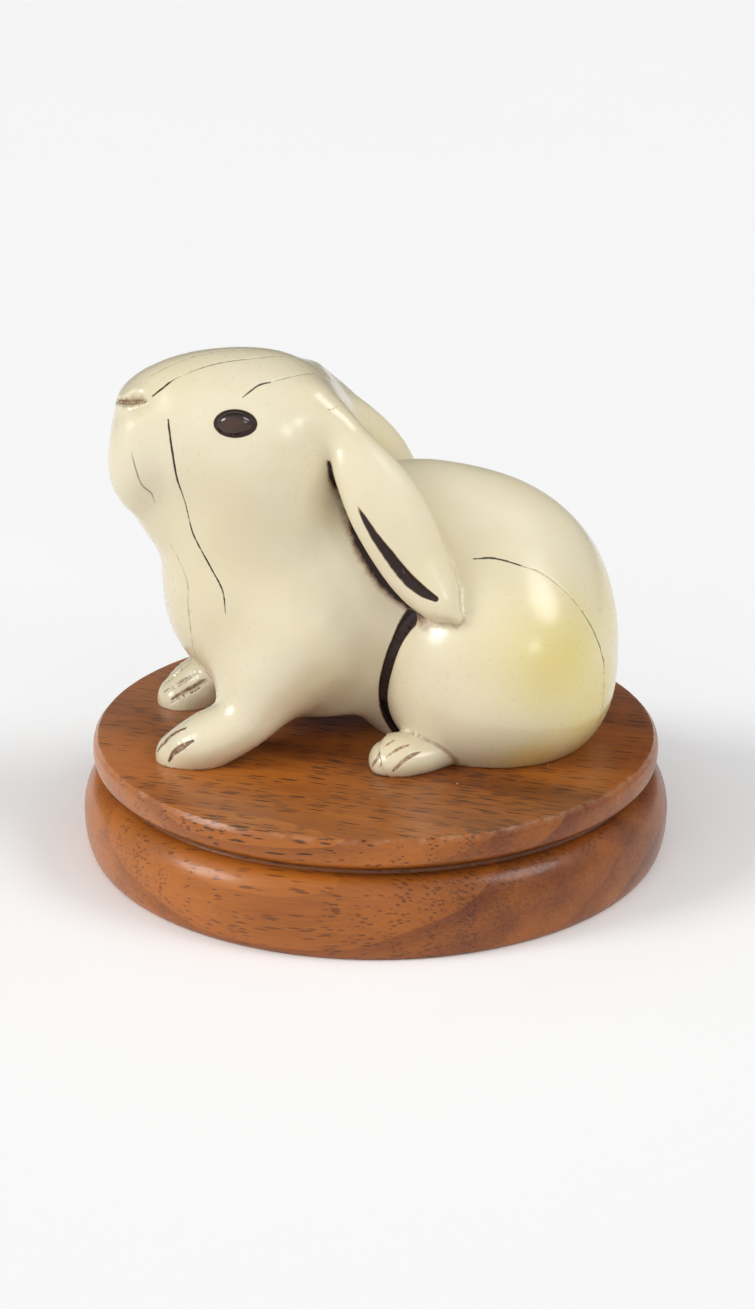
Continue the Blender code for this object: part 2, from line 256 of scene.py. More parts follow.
# Dull lacquer on the back, the rump, the throat and the flank, on both sides: middle, reach and strength.
MATT = (
    ((8.0, -9.0, 63.0), 19.0, 0.75), ((26.0, -8.0, 63.0), 15.0, 0.8), ((-24.0, -11.0, 55.0), 12.0, 0.4),
    ((-6.0, -13.0, 44.0), 12.0, 0.35),
)


# The stand: its grain's turn about Z in degrees, and the spot that its painted sheen, a pale painted
# reflection of the white surround, grows away from.
GRAIN_TURN = 22.0
GRAIN_WAY = (math.cos(math.radians(GRAIN_TURN)), -math.sin(math.radians(GRAIN_TURN)), 0.0)
SHEEN_FROM = (6.0, -26.0, 20.0)
SHEEN_REACH = (34, 72)
SHEEN_MOST = 0.34
GROOVE_HEIGHT = 14.4
BEAD_FILLED = 0.5

# Lights and camera, with azimuths to the right of the front and elevations above the floor in degrees.
# Each softbox: name, azimuth, elevation and width.
SOFTBOXES = (("right", 68, 46, 25), ("front", -25, 18, 100), ("left", -78, 32, 22))
SNOOT_FROM = (36, 23)
SNOOT_AIM = (-17, -14, 72)
SNOOT_AWAY = 250
SNOOT_RADIUS = 60
SNOOT_CONE = 15
DARK_WALL = (0, 0.94, 0.34)
CAMERA_FROM = (-4.5, 20.44)
CAMERA_AT = (-28.27, -363.03, 168.36)
CAMERA_LENS = 62.02
FLOOR_RADIUS = 6000


def turned(degrees):
    """Rotation matrix of a turn about X, then Y, then Z."""
    return np.array(Euler([math.radians(a) for a in degrees]).to_matrix())


def egg(p, centre, radii, turn=(0, 0, 0)):
    """Distance from points p to an ellipsoid, close to true near its surface."""
    q = (p - np.array(centre)) @ turned(turn)
    r = np.array(radii)
    k0 = np.linalg.norm(q / r, axis=1)
    k1 = np.linalg.norm(q / r**2, axis=1)
    return k0 * (k0 - 1) / np.maximum(k1, 1e-9)


def smooth_path(points, steps=6):
    """Catmull-Rom curve through rows of numbers, which may carry radii too."""
    rows = np.array(points, float)
    rows = np.vstack([2 * rows[0] - rows[1], rows, 2 * rows[-1] - rows[-2]])
    t = np.linspace(0, 1, steps, endpoint=False)[:, None]
    out = []
    for a, b, c, d in zip(rows, rows[1:], rows[2:], rows[3:]):
        out.append(
            0.5 * (2 * b + (c - a) * t + (2 * a - 5 * b + 4 * c - d) * t**2 + (3 * b - a - 3 * c + d) * t**3)
        )
    return np.vstack([*out, rows[-2:-1]])


def box_gap(p, rows, reach):
    """How far points lie outside the box around a path, grown by reach."""
    low, high = rows[:, :3].min(0) - reach, rows[:, :3].max(0) + reach
    return np.maximum(np.maximum(low - p, p - high), 0).max(axis=1)


def nearest_spot(p, rows):
    """Distance to a path, the path's row there and its direction."""
    best = np.full(len(p), np.inf)
    where = np.zeros((len(p), rows.shape[1]))
    along = np.zeros((len(p), 3))
    for a, b in zip(rows, rows[1:]):
        run = b[:3] - a[:3]
        t = np.clip((p - a[:3]) @ run / (run @ run), 0, 1)[:, None]
        spot = a + (b - a) * t
        d = np.linalg.norm(p - spot[:, :3], axis=1)
        nearer = d < best
        best[nearer] = d[nearer]
        where[nearer] = spot[nearer]
        along[nearer] = run / np.linalg.norm(run)
    return best, where, along


def loft(p, path, face, inward=1.0):
    """Distance to a bar with an elliptical section along a path.

    face is the direction in which the thickness is measured; on the other side
    of the path the thickness is multiplied by inward.
    """
    rows = smooth_path(path)
    apart = box_gap(p, rows, LOFT_REACH)
    near = apart == 0
    out = apart + LOFT_REACH / 2
    if not near.any():
        return out
    p = p[near]
    _, where, along = nearest_spot(p, rows)
    n = np.array(face, float) - along * (along @ np.array(face, float))[:, None]
    n /= np.linalg.norm(n, axis=1)[:, None]
    side = np.cross(along, n)
    q = p - where[:, :3]
    local = np.stack([(q * side).sum(1), (q * n).sum(1), (q * along).sum(1)], axis=1)
    thick = where[:, 4] * np.where(local[:, 1] < 0, inward, 1)
    r = np.stack([where[:, 3], thick, np.minimum(where[:, 3], where[:, 4])], axis=1)
    k0 = np.linalg.norm(local / r, axis=1)
    k1 = np.linalg.norm(local / r**2, axis=1)
    out[near] = k0 * (k0 - 1) / np.maximum(k1, 1e-9)
    return out


def gouge(p, path, reach=3.0):
    """Distance to a round rod along a path of x, y, z and radius."""
    rows = smooth_path(path, 4)
    apart = box_gap(p, rows, reach)
    near = apart == 0
    out = apart + reach
    if near.any():
        d, where, _ = nearest_spot(p[near], rows)
        out[near] = np.minimum(d - where[:, 3], reach)
    return out


def ramp(x, start, end):
    """0 before start, 1 after end, eased between."""
    t = np.clip((x - start) / (end - start), 0, 1)
    return t * t * (3 - 2 * t)


def join(a, b, blend):
    """Union of two distances, with a fillet about as wide as blend."""
    h = np.maximum(blend - np.abs(a - b), 0) / blend
    return np.minimum(a, b) - h * h * blend / 4


def cut(a, b, blend):
    """a with b taken away, with its edges eased over blend."""
    return -join(-a, b, blend)


def blended(p, masses):
    """Distance to a group of masses, each blended into those before it."""
    d = None
    for centre, radii, lean, blend in masses:
        one = egg(p, centre, radii, (0, lean, 0))
        d = one if d is None else join(d, one, blend)
    return d


def folded(p):
    """Points with the right side laid over the left."""
    return p * [1, 0, 1] - np.abs(p * [0, 1, 0])


def ear_side(p):
    """Folded points, with the right ear brought down to the left one's height."""
    return folded(p) - [0, 0, 1] * (RIGHT_EAR_LIFT * (p[:, 1:2] > 0))


def arch(p):
    """Clear space under the belly, from one flank to the other."""
    wide = np.abs(p[:, 0] - ARCH_MIDDLE) - ARCH_HALF_WIDTH
    return -join(-wide, ARCH_TOP - p[:, 2], 3)


def main_parts(p):
    """Distances to the trunk, haunch, hind foot and ear, and how far forward on the haunch."""
    q = folded(p)
    trunk = join(blended(q, TRUNK), loft(q, FORELEG, (0.3, 0, 1)), 6)
    trunk = join(trunk, blended(q, HEAD), 5)
    trunk = cut(trunk, loft(q, EAR_VALLEY, (0, -1, 0)), 3)
    trunk = cut(trunk, arch(q), 2)
    haunch = blended(q, HAUNCH)
    foot = loft(q, HIND_FOOT, (0, 0, 1))
    ear = loft(ear_side(p), EAR, EAR_FACE, 2.0)
    front = 1 - ramp(q[:, 0] + 0.6 * (q[:, 2] - 35), 8, 24)
    return trunk, haunch, foot, ear, front


def rabbit_masses(p):
    """Distance to the rabbit before its finer carving."""
    q = folded(p)
    trunk, haunch, foot, ear, front = main_parts(p)
    d = join(trunk, haunch, 0.5 + 7.3 * (1 - front))
    d = cut(d, np.hypot(trunk, haunch) - (SEAM_HALF_WIDTH + 3 * (front - 1)), 0.45)
    d = join(d, foot, 0.8)
    d = join(d, ear, 0.8 + 5.2 * ramp(q[:, 2], 68, 78))
    return join(d, blended(q, TAIL), 1.2)


def seams(p):
    """Distances to the lines where the haunch, the ear and the hind foot meet the body."""
    trunk, haunch, foot, ear, front = main_parts(p)
    body = np.minimum(trunk, haunch)
    seam = np.hypot(trunk, haunch) + 9 * (1 - ramp(front, 0.6, 0.95))
    return seam, np.hypot(body, ear), np.hypot(body, foot)


def rabbit_carved(p):
    """Distance to the rabbit with its nose, eye sockets, ear slots and toes."""
    q = folded(p)
    d = rabbit_masses(p)
    d = join(d, blended(q, NOSE_PAD), 2.2)
    d = cut(d, gouge(ear_side(p), EAR_SLOT), 0.3)
    d = cut(d, gouge(q, NOSE_CUT), 0.3)
    for line in (*PAW_GROOVES, *FOOT_GROOVES):
        d = cut(d, gouge(q, line), 0.2)
    return cut(d, socket(q), 0.3)


def socket(q):
    return egg(q, EYE_CENTRE, [r + SOCKET_GAP for r in EYE_RADII], EYE_TURN)


CORNERS = np.array([(1, -1, -1), (-1, -1, 1), (-1, 1, -1), (1, 1, 1)])


def drawn(field, p, most, step=0.04):
    """Points moved towards the surface of a field, at most so far."""
    values = np.stack([field(p + step * c) for c in CORNERS])
    g = values.T @ CORNERS / (4 * step)
    move = g * (values.mean(0) / np.maximum((g * g).sum(1), 0.3))[:, None]
    long = np.linalg.norm(move, axis=1)
    return p - move * np.minimum(1, most / np.maximum(long, 1e-9))[:, None]


def positions(verts):
    return np.array([v.co for v in verts])


def settle(skin, verts, field, rounds, most, factor=0.5):
    """Evens out some vertices of a skin and draws them onto a field."""
    for _ in range(rounds):
        bmesh.ops.smooth_vert(
            skin, verts=verts, factor=factor, use_axis_x=True, use_axis_y=True, use_axis_z=True
        )
        for v, co in zip(verts, drawn(field, positions(verts), most)):
            v.co = co
    for v, co in zip(verts, drawn(field, positions(verts), most / 4)):
        v.co = co


def rough_block():
    """Spheres along the figure, closed into one skin later."""
    masses = [
        ((-24, 0, 70), 15), ((-34, 0, 68), 9), ((-22, 0, 52), 15), ((-15, 0, 42), 17),
        ((0, 0, 43), 18), ((16, 0, 42), 22), ((22, 0, 38), 19),
    ]
    for side in (-1, 1):
        masses += [
            ((20, side * 10, 34), 13), ((8, side * 17, 24), 5), ((2, side * 18, 23.5), 5),
            ((-20, side * 13, 31), 6), ((-26, side * 14, 26), 5), ((-31, side * 14, 23), 5),
            ((-34, side * 13, 21), 5),
            ((-6, side * 10, 74), 6), ((-2, side * 13, 67), 6), ((3, side * 15, 58), 6),
            ((8, side * 17, 50), 5),
        ]
    block = bmesh.new()
    for centre, radius in masses:
        bmesh.ops.create_icosphere(
            block, subdivisions=3, radius=radius, matrix=Matrix.Translation(centre)
        )
    return block


def remeshed(block, voxel):
    """One even skin round a mesh."""
    mesh = bpy.data.meshes.new("skin")
    block.to_mesh(mesh)
    block.free()
    holder = bpy.data.objects.new("skin", mesh)
    bpy.context.scene.collection.objects.link(holder)
    wrap = holder.modifiers.new("Skin", "REMESH")
    wrap.mode = "VOXEL"
    wrap.voxel_size = voxel
    graph = bpy.context.evaluated_depsgraph_get()
    skin = bmesh.new()
    skin.from_object(holder, graph)
    bpy.data.objects.remove(holder)
    bpy.data.meshes.remove(mesh)
    return skin


def cut_flat(skin, height):
    """Saws the skin level at a height and closes the soles."""
    everything = [*skin.verts, *skin.edges, *skin.faces]
    bmesh.ops.bisect_plane(
        skin, geom=everything, dist=1e-5, plane_co=(0, 0, height), plane_no=(0, 0, -1), clear_outer=True
    )
    rim = [e for e in skin.edges if e.is_boundary]
    bmesh.ops.holes_fill(skin, edges=rim, sides=0)


def refine(skin, near, reach):
    """Halves the edges that lie within reach of the detail."""
    close = dict(zip(skin.verts, near(positions(skin.verts)) < reach))
    edges = [e for e in skin.edges if close[e.verts[0]] or close[e.verts[1]]]
    bmesh.ops.subdivide_edges(skin, edges=edges, cuts=1, use_grid_fill=True)
    wide = [f for f in skin.faces if len(f.verts) > 3]
    bmesh.ops.triangulate(skin, faces=wide)


def hairline_paths():
    """Hairlines laid onto the skin, with half width, colour and points."""
    laid = []
    for width, depth, points in HAIRLINES:
        rows = smooth_path(points, 5)
        for _ in range(4):
            rows = drawn(rabbit_carved, rows, 1.0)
        laid.append((width, depth, rows))
    return laid


def hairline_gap(p, laid):
    """Distance to the edge of the nearest hairline, and how dark that one is."""
    gap = np.full(len(p), 2.0)
    dark = np.zeros(len(p))
    for width, depth, rows in laid:
        near = box_gap(p, rows, 2.0) == 0
        if not near.any():
            continue
        ends = np.linspace(0, 1, len(rows))
        taper = width * (0.55 + 0.45 * np.sin(np.pi * ends))
        d, where, _ = nearest_spot(p[near], np.column_stack([rows, taper]))
        edge = d - where[:, 3]
        index = np.nonzero(near)[0][edge < gap[near]]
        gap[index] = edge[edge < gap[near]]
        dark[index] = depth
    return gap, dark


def detail_gap(p, laid):
    """Distance to the nearest lip of a groove, slot, seam or socket, or to a hairline."""
    q = folded(p)
    gap = np.minimum(hairline_gap(p, laid)[0] + 0.1, np.abs(socket(q)))
    gap = np.minimum(gap, np.abs(seams(p)[0] - SEAM_HALF_WIDTH))
    for line in (EAR_SLOT, NOSE_CUT, *PAW_GROOVES, *FOOT_GROOVES):
        gap = np.minimum(gap, np.abs(gouge(q, line)))
    return gap


def edge_gap(p, laid):
    """As detail_gap, with the edges of the ears and the hind feet."""
    return np.minimum(detail_gap(p, laid), np.minimum(*seams(p)[1:]))


def stain_and_shade_of(p):
    """How much stain lies at each point, from 0 to 1, with painted shade under the ears' lower edges."""
    q = folded(p)
    side = ear_side(p)
    haunch, ear, foot = seams(p)
    spread = np.interp(q[:, 2], (22, 28, 40, 45, 48), (1.7, 1.1, 1.0, 1.5, 2.4))
    stain = 1 - ramp(haunch / spread, SEAM_HALF_WIDTH + 0.08, SEAM_HALF_WIDTH + 0.5)
    # Stain and painted shade in a band under the ear's lower edge.
    below = ramp(
        -0.84 * (side[:, 0] - 0.8) - 0.55 * (side[:, 2] - 62.9), -2.5, 0.5,
    ) * (1 - ramp(side[:, 0], 5, 8.5))
    width = np.interp(side[:, 2], *zip(*EAR_STAIN_AND_SHADE))
    stain = np.maximum(stain, below * (1 - ramp(ear / width, 0.45, 1.5)))
    stain = np.maximum(stain, 0.24 * (1 - ramp(ear, 0.2, 1.2)))
    stain = np.maximum(stain, 0.42 * (1 - ramp(foot, 0.15, 0.9)))
    for strength, path in STAINS:
        near = box_gap(side, np.array(path), 4.0) == 0
        if near.any():
            d, where, _ = nearest_spot(side[near], smooth_path(path, 4))
            stain[near] = np.maximum(stain[near], strength * (1 - ramp(d / where[:, 3], 0.75, 1.3)))
    rim = 1 - ramp(socket(q), 0.02, 0.28)
    mouth = nearest_spot(p, smooth_path(MOUTH_LINE, 4))[0]
    return np.maximum(np.maximum(stain, rim), 0.4 * (1 - ramp(mouth, 0.08, 0.35)))


def patina_and_reflection_of(p):
    # Yellowing, and a painted warm reflection of the wood low on the haunches.
    warm = np.zeros(len(p))
    for middle, reach in PATINA_AND_REFLECTION:
        d = np.linalg.norm(p - np.array(middle), axis=1)
        warm = np.maximum(warm, np.exp(-2.2 * (d / reach) ** 2))
    return warm


def matt_of(p):
    """How dull the lacquer has stayed at each point, from 0 to 1."""
    q = folded(p)
    dull = np.zeros(len(p))
    for middle, reach, most in MATT:
        d = np.linalg.norm(q - np.array(middle), axis=1)
        dull = np.maximum(dull, most * (1 - ramp(d, 0.5 * reach, reach)))
    return dull


def set_layer(mesh, name, values):
    layer = mesh.attributes.new(name, "FLOAT", "POINT")
    layer.data.foreach_set("value", np.asarray(values, np.float32))


def new_piece(name, shape, surface):
    """Finished object of a bmesh in millimetres, in its place, with its finish."""
    bmesh.ops.transform(shape, matrix=Matrix.Scale(MM, 4), verts=shape.verts)
    mesh = bpy.data.meshes.new(name)
    shape.to_mesh(mesh)
    shape.free()
    mesh.shade_smooth()
    mesh.materials.append(surface)
    piece = bpy.data.objects.new(name, mesh)
    bpy.context.scene.collection.objects.link(piece)
    return piece


def linear(hexcode):
    """Linear colour of an sRGB hex value."""
    parts = [int(hexcode[i:i + 2], 16) / 255 for i in (0, 2, 4)]
    return tuple(c / 12.92 if c <= 0.04045 else ((c + 0.055) / 1.055) ** 2.4 for c in parts)


def add(tree, kind, inputs=None, **settings):
    """A node with its settings, values and links."""
    made = tree.nodes.new("ShaderNode" + kind)
    for name, value in settings.items():
        setattr(made, name, value)
    for key, value in (inputs or {}).items():
        if isinstance(value, bpy.types.NodeSocket):
            tree.links.new(value, made.inputs[key])
        else:
            made.inputs[key].default_value = value
    return made


def new_material(name):
    """Empty material, with its tree and its Principled shader."""
    made = bpy.data.materials.new(name)
    made.use_nodes = True
    return made, made.node_tree, made.node_tree.nodes["Principled BSDF"]


def ivory_resin(look):
    """Cast polyester resin, rubbed to an ivory gloss over a wiped brown stain.

    To the eye: a warm cream body with faint cloudy tone, yellow where it has
    aged, with a painted warm reflection of the wood low on the haunches, brown
    that gathers in the cuts and breaks up at its edges, the same brown as painted
    shade under the ears' lower edges, and a soft lacquer gloss with slight ripples.
    """
    made, tree, shader = new_material("cast_resin_ivory")
    spot = add(tree, "TexCoord").outputs["Object"]
    # The stain mask also holds painted shade under the ears' lower edges.
    stain = add(tree, "Attribute", attribute_name="stain").outputs["Fac"]
    # Yellowing, and painted warm reflection of the wood low on the haunches.
    patina = add(tree, "Attribute", attribute_name="patina").outputs["Fac"]
    hair_gap = add(tree, "Attribute", attribute_name="hair_gap").outputs["Fac"]
    hair_dark = add(tree, "Attribute", attribute_name="hair_dark").outputs["Fac"]

    # Clouds about 16 mm across, and ragged grain of a millimetre and finer.
    clouds = add(tree, "TexNoise", {"Vector": spot, "Scale": 60, "Detail": 3}).outputs["Fac"]
    ragged = add(
        tree, "TexNoise", {"Vector": spot, "Scale": 900, "Detail": 4, "Roughness": 0.65},
    ).outputs["Fac"]
    cloud_mix = add(
        tree, "MapRange", {"Value": clouds, "From Min": 0.35, "From Max": 0.65},
    ).outputs[0]
    cream = add(
        tree, "Mix", {0: cloud_mix, 6: (*look.cream, 1), 7: (*look.shade, 1)}, data_type="RGBA",
    ).outputs[2]
    patina_and_reflection_mix = add(tree, "Math", {0: patina, 1: 0.95}, operation="MULTIPLY").outputs[0]
    aged = add(
        tree, "Mix", {0: patina_and_reflection_mix, 6: cream, 7: (*look.patina, 1)}, data_type="RGBA",
    ).outputs[2]

    # Pinholes and specks a quarter of a millimetre wide, a few to each square centimetre.
    specks = add(tree, "TexVoronoi", {"Vector": spot, "Scale": 260})
    speck_size = add(tree, "SeparateColor", {"Color": specks.outputs["Color"]}).outputs[0]
    speck_edge = add(
        tree, "MapRange",
        {"Value": speck_size, "From Min": 0.55, "From Max": 1.0, "To Min": 0.0, "To Max": 0.055},
    ).outputs[0]
    speck_in = add(
        tree, "Math", {0: speck_edge, 1: specks.outputs["Distance"]}, operation="SUBTRACT",
    ).outputs[0]
    speck = add(
        tree, "MapRange", {"Value": speck_in, "From Min": 0.0, "From Max": 0.03, "To Max": 0.55},
    ).outputs[0]
    specked = add(
        tree, "Mix", {0: speck, 6: aged, 7: (*look.wash, 1)}, data_type="RGBA",
    ).outputs[2]

    # The stain thins out through tan, and its edge is broken by the ragged grain.
    broken = add(tree, "Math", {0: ragged, 1: 0.5, 2: -0.25}, operation="MULTIPLY_ADD").outputs[0]
    laid = add(tree, "Math", {0: stain, 1: broken}, operation="ADD").outputs[0]
    thin = add(
        tree, "MapRange", {"Value": laid, "From Min": 0.1, "From Max": 0.5, "To Max": 0.85},
    ).outputs[0]
    thick = add(tree, "MapRange", {"Value": laid, "From Min": 0.42, "From Max": 0.66}).outputs[0]
    some = add(tree, "Math", {0: stain, 1: 0.04}, operation="GREATER_THAN").outputs[0]
    thin = add(tree, "Math", {0: thin, 1: some}, operation="MULTIPLY").outputs[0]
    thick = add(tree, "Math", {0: thick, 1: some}, operation="MULTIPLY").outputs[0]
    washed = add(
        tree, "Mix", {0: thin, 6: specked, 7: (*look.wash, 1)}, data_type="RGBA",
    ).outputs[2]
    stained_and_shaded = add(
        tree, "Mix", {0: thick, 6: washed, 7: (*look.stain, 1)}, data_type="RGBA",
    ).outputs[2]

    # Hairlines: their edge wanders a twentieth of a millimetre.
    wander = add(
        tree, "Math", {0: ragged, 1: 0.34, 2: -0.17}, operation="MULTIPLY_ADD",
    ).outputs[0]
    edge = add(tree, "Math", {0: hair_gap, 1: wander}, operation="ADD").outputs[0]
    line = add(tree, "MapRange", {"Value": edge, "From Min": 0.05, "From Max": -0.05}).outputs[0]
    line = add(tree, "Math", {0: line, 1: hair_dark}, operation="MULTIPLY").outputs[0]
    lined = add(
        tree, "Mix", {0: line, 6: stained_and_shaded, 7: (*look.hairline, 1)}, data_type="RGBA",
    ).outputs[2]
    tree.links.new(lined, shader.inputs["Base Color"])

    # Gloss: stain dries dull, the rubbed skin shines.
    dull = add(tree, "Math", {0: thick, 1: line}, operation="MAXIMUM").outputs[0]
    matt = add(tree, "Attribute", attribute_name="matt").outputs["Fac"]
    dull = add(tree, "Math", {0: dull, 1: matt}, operation="MAXIMUM").outputs[0]
    wear_and_sheen = add(
        tree, "MapRange",
        {"Value": ragged, "From Min": 0.3, "From Max": 0.7, "To Min": 0.25, "To Max": 0.37},
    ).outputs[0]
    rough = add(tree, "Mix", {0: dull, 2: wear_and_sheen, 3: 0.7}).outputs[0]
    tree.links.new(rough, shader.inputs["Roughness"])
    lacquer = add(tree, "MapRange", {"Value": dull, "To Min": 0.7, "To Max": 0.0}).outputs[0]
    tree.links.new(lacquer, shader.inputs["Coat Weight"])

    # Ripples 4 mm apart in the lacquer, fine tooth, and the specks as pits.
    ripples = add(tree, "TexNoise", {"Vector": spot, "Scale": 240, "Detail": 2}).outputs["Fac"]
    ripple_bump = add(
        tree, "Bump", {"Height": ripples, "Strength": 1.0, "Distance": 0.00009},
    ).outputs[0]
    fine_bump = add(
        tree, "Bump",
        {"Height": ragged, "Strength": 1.0, "Distance": 0.000018, "Normal": ripple_bump},
    ).outputs[0]
    pit_bump = add(
        tree, "Bump",
        {"Height": speck, "Strength": 1.0, "Distance": 0.00006, "Normal": fine_bump}, invert=True,
    ).outputs[0]
    tree.links.new(pit_bump, shader.inputs["Normal"])
    shader.inputs["IOR"].default_value = 1.5
    shader.inputs["Subsurface Weight"].default_value = 0.12
    shader.inputs["Subsurface Radius"].default_value = (1.0, 0.7, 0.4)
    shader.inputs["Subsurface Scale"].default_value = 0.0012
    shader.inputs["Coat Roughness"].default_value = 0.19
    return made


def amber_bead(look):
    """Polished dark brown glass-like resin bead: deep, almost black, with a clean wet gloss."""
    made, tree, shader = new_material("dark_bead")
    spot = add(tree, "TexCoord").outputs["Object"]
    depth = add(tree, "TexNoise", {"Vector": spot, "Scale": 500, "Detail": 3}).outputs["Fac"]
    streak = add(tree, "MapRange", {"Value": depth, "From Min": 0.35, "From Max": 0.7}).outputs[0]
    rim = add(tree, "Attribute", attribute_name="rim").outputs["Fac"]
    body = add(
        tree, "Mix", {0: streak, 6: (*look.brown, 1), 7: (*look.deep, 1)}, data_type="RGBA",
    ).outputs[2]
    edged = add(tree, "Mix", {0: rim, 6: body, 7: (*look.edge, 1)}, data_type="RGBA").outputs[2]
    tree.links.new(edged, shader.inputs["Base Color"])
    wear = add(tree, "MapRange", {"Value": depth, "To Min": 0.1, "To Max": 0.2}).outputs[0]
    tree.links.new(wear, shader.inputs["Roughness"])
    shader.inputs["IOR"].default_value = 1.5
    shader.inputs["Coat Weight"].default_value = 0.25
    shader.inputs["Coat Roughness"].default_value = 0.04
    return made


def satin_walnut(look):
    """Solid walnut, turned across the board and finished with satin lacquer.

    To the eye: warm brown with broad curved growth bands, short dark pores that
    run with the grain and show as dots on the end grain, a darker groove, an edge
    paler from wear and a painted highlight, a pale painted reflection towards the
    table's far edge, and a soft sheen.
    """
    made, tree, shader = new_material("lacquered_walnut")
    spot = add(tree, "TexCoord").outputs["Object"]
    # The board in millimetres, with its grain along the pattern's X.
    board = add(
        tree, "Mapping",
        {
            "Vector": spot, "Rotation": (0, math.radians(3), math.radians(GRAIN_TURN)),
            "Scale": (1000, 1000, 1000),
        },
    ).outputs[0]

    # Growth rings round a pith 62 mm under the stand, about 7 mm apart, wavering along the grain.
    drift = add(
        tree, "VectorMath", {0: board, 1: (0.012, 0.05, 0.05)}, operation="MULTIPLY",
    ).outputs[0]
    waver = add(
        tree, "TexNoise", {"Vector": drift, "Scale": 1.0, "Detail": 2}, noise_dimensions="3D",
    ).outputs["Color"]
    sway = add(tree, "VectorMath", {0: waver, 1: (9, 9, 9)}, operation="MULTIPLY").outputs[0]
    swayed = add(tree, "VectorMath", {0: board, 1: sway}, operation="ADD").outputs[0]
    across = add(tree, "VectorMath", {0: swayed, 1: (0, 1, 1)}, operation="MULTIPLY").outputs[0]
    radius = add(
        tree, "VectorMath", {0: across, 1: (0, 18, -62)}, operation="DISTANCE",
    ).outputs["Value"]
    phase = add(tree, "Math", {0: radius, 1: 0.15}, operation="MULTIPLY").outputs[0]
    year = add(tree, "Math", {0: phase}, operation="FRACT").outputs[0]
    number = add(tree, "Math", {0: phase}, operation="FLOOR").outputs[0]
    yearly = add(tree, "TexWhiteNoise", {"W": number}, noise_dimensions="1D").outputs["Value"]
    late = add(
        tree, "MapRange", {"Value": year, "From Min": 0.35, "From Max": 0.97, "To Max": 0.75},
        interpolation_type="SMOOTHSTEP",
    ).outputs[0]
    ring = add(tree, "Math", {0: late, 1: yearly}, operation="MULTIPLY").outputs[0]

    # Fibre streaks half a millimetre wide and some 30 mm long.
    fibre_place = add(
        tree, "VectorMath", {0: board, 1: (0.035, 1.7, 1.7)}, operation="MULTIPLY",
    ).outputs[0]
    fibre = add(
        tree, "TexNoise", {"Vector": fibre_place, "Scale": 1.0, "Detail": 3, "Roughness": 0.6},
    ).outputs["Fac"]
    broad_place = add(
        tree, "VectorMath", {0: board, 1: (0.012, 0.09, 0.09)}, operation="MULTIPLY",
    ).outputs[0]
    broad = add(
        tree, "TexNoise", {"Vector": broad_place, "Scale": 1.0, "Detail": 2},
    ).outputs["Fac"]
    tone = add(tree, "Math", {0: fibre, 1: 0.5, 2: -0.25}, operation="MULTIPLY_ADD").outputs[0]
    tone = add(tree, "Math", {0: broad, 1: 1.3, 2: tone}, operation="MULTIPLY_ADD").outputs[0]
    tone = add(tree, "Math", {0: ring, 1: 0.45, 2: tone}, operation="MULTIPLY_ADD").outputs[0]
    # Darker towards +X.
    east = add(tree, "SeparateXYZ", {0: spot}).outputs["X"]
    tone = add(tree, "Math", {0: east, 1: 5.0, 2: tone}, operation="MULTIPLY_ADD").outputs[0]
    tone = add(tree, "MapRange", {"Value": tone, "From Min": 0.35, "From Max": 1.2}).outputs[0]
    wood = add(
        tree, "Mix", {0: tone, 6: (*look.light, 1), 7: (*look.dark, 1)}, data_type="RGBA",
    ).outputs[2]

    # Pores: rods about 0.25 mm thick and 2 to 4 mm long, more of them early in a year.
    pore_place = add(
        tree, "VectorMath", {0: board, 1: (0.2, 2.5, 2.5)}, operation="MULTIPLY",
    ).outputs[0]
    pores = add(tree, "TexVoronoi", {"Vector": pore_place, "Scale": 1.0})
    luck = add(tree, "SeparateColor", {"Color": pores.outputs["Color"]}).outputs[0]
    crowd = add(tree, "Math", {0: broad, 1: 1.3, 2: luck}, operation="MULTIPLY_ADD").outputs[0]
    crowd = add(tree, "Math", {0: late, 1: -0.3, 2: crowd}, operation="MULTIPLY_ADD").outputs[0]
    pore_size = add(
        tree, "MapRange", {"Value": crowd, "From Min": 0.8, "From Max": 1.35, "To Max": 0.46},
    ).outputs[0]
    pore_in = add(
        tree, "Math", {0: pore_size, 1: pores.outputs["Distance"]}, operation="SUBTRACT",
    ).outputs[0]
    pore = add(tree, "MapRange", {"Value": pore_in, "From Min": 0.0, "From Max": 0.14}).outputs[0]
    # The lacquer has filled the pores where the end grain shows, and each pore is as dark as it is deep.
    end_grain = add(tree, "Attribute", attribute_name="end_grain").outputs["Fac"]
    open_pores = add(
        tree, "MapRange",
        {"Value": end_grain, "From Min": 0.25, "From Max": 0.8, "To Min": 0.8, "To Max": 0.15},
    ).outputs[0]
    pore = add(tree, "Math", {0: pore, 1: open_pores}, operation="MULTIPLY").outputs[0]
    pored = add(tree, "Mix", {0: pore, 6: wood, 7: (*look.pore, 1)}, data_type="RGBA").outputs[2]

    # The table's edge is paler in patches, from wear and as a painted highlight along the rounded edge; the
    # groove is darker.
    arris = add(tree, "Attribute", attribute_name="arris").outputs["Fac"]
    groove = add(tree, "Attribute", attribute_name="groove").outputs["Fac"]
    patches = add(tree, "TexNoise", {"Vector": spot, "Scale": 420, "Detail": 4}).outputs["Fac"]
    patches = add(
        tree, "MapRange", {"Value": patches, "From Min": 0.42, "From Max": 0.75, "To Max": 0.32},
    ).outputs[0]
    bare_and_highlight = add(tree, "Math", {0: arris, 1: patches}, operation="MULTIPLY").outputs[0]
    wear_and_sheen = add(tree, "Mix", {0: bare_and_highlight, 6: pored, 7: (*look.bare_and_highlight, 1)}, data_type="RGBA").outputs[2]
    # Painted sheen: a pale painted reflection of the white surround on the table's top, growing towards its
    # far edge.
    bloom = add(tree, "Attribute", attribute_name="bloom").outputs["Fac"]
